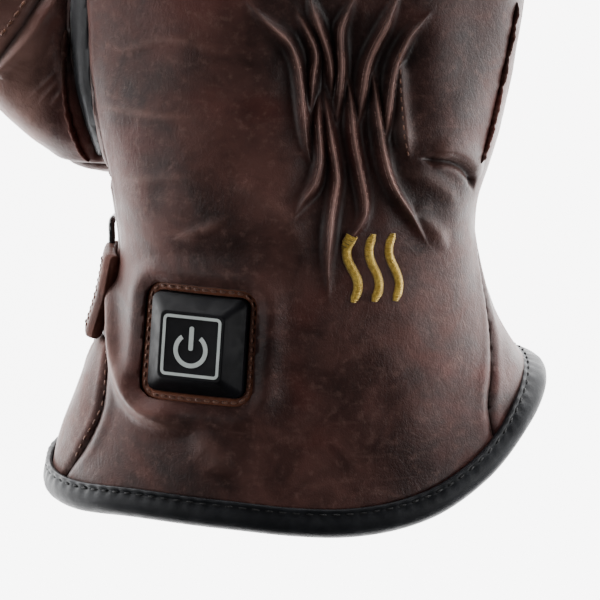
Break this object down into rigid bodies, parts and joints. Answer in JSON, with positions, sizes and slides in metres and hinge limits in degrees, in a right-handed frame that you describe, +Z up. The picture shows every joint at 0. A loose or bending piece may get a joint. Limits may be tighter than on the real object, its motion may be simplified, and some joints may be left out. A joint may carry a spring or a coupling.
{
  "type": "heated glove",
  "caption": "Right-hand padded leather glove with a power button on the cuff, an elastic gather at the wrist, a bound hem and a wrist strap.",
  "frame": {"origin": "on the surface the palm rests on, under the middle of the palm", "axes": "+Y from the wrist towards the fingertips, +X towards the little finger, +Z up out of the back of the hand"},
  "size_m": [0.1764, 0.2708, 0.0786],
  "materials": {
    "leather": "antiqued, semi-gloss dark reddish brown",
    "strap": "antiqued, semi-gloss dark reddish brown",
    "strip": "matt black stretch cloth",
    "binding": "satin black",
    "plastic": "satin black moulding",
    "ring": "black lacquered wire",
    "window": "edge of the leather window, lighter brown",
    "thread": "gold embroidery thread",
    "stitching": "rust-brown sewing thread",
    "symbol": "light grey print",
    "lining": "black fleece lining"
  },
  "bodies": {
    "root": {"back_panel": "leather", "palm_panel": "leather", "thumb_base": "leather", "thumb_back": "leather", "thumb_front": "leather", "cuff_gusset": "leather", "side_strip": "strip", "fourchette_index_middle": "strip", "fourchette_middle_ring": "strip", "fourchette_ring_little": "strip", "cuff_binding": "binding", "button_housing": "plastic", "button_frame": "window", "heat_mark_1": "thread", "heat_mark_2": "thread", "heat_mark_3": "thread", "wrist_strap": "strap", "strap_ring": "ring", "ring_tab": "strap"}
  },
  "joints": []
}
